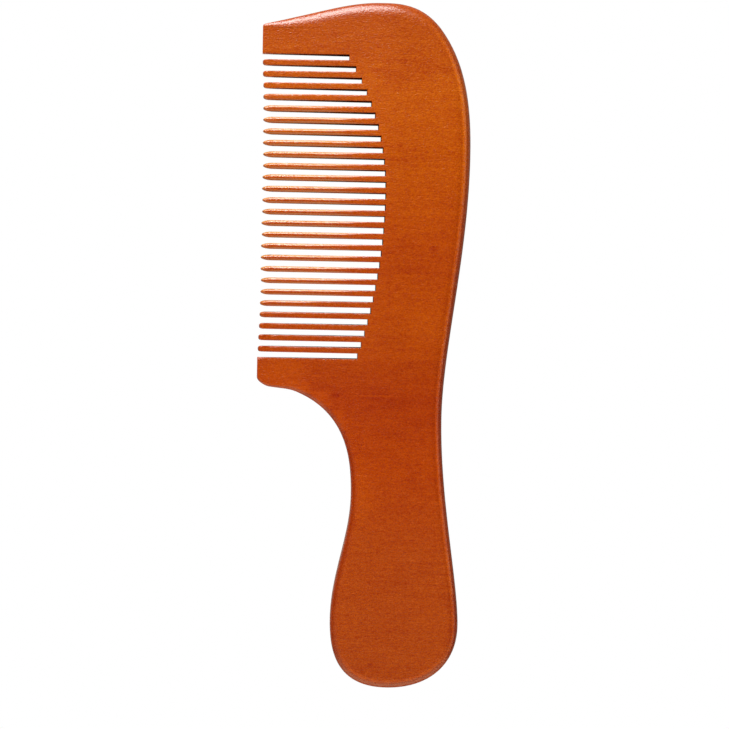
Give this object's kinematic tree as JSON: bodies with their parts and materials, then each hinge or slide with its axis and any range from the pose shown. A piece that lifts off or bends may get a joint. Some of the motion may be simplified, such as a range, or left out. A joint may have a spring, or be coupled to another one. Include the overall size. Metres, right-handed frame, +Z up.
{
  "type": "wooden comb with a handle",
  "caption": "Flat one-piece wooden comb: a curved back, a row of sawn teeth between guards, and a paddle handle with a bay under the heel for a finger.",
  "frame": {"origin": "under the middle of the comb's box, on the surface it lies on", "axes": "+Y along the comb from the handle to the head, +X across it from the tooth tips to the back, +Z up through its thickness"},
  "size_m": [0.0566, 0.185, 0.0095],
  "materials": {
    "wood": "orange-brown wood under clear satin lacquer, grain along the teeth"
  },
  "bodies": {
    "root": {"comb": "wood"}
  },
  "joints": []
}
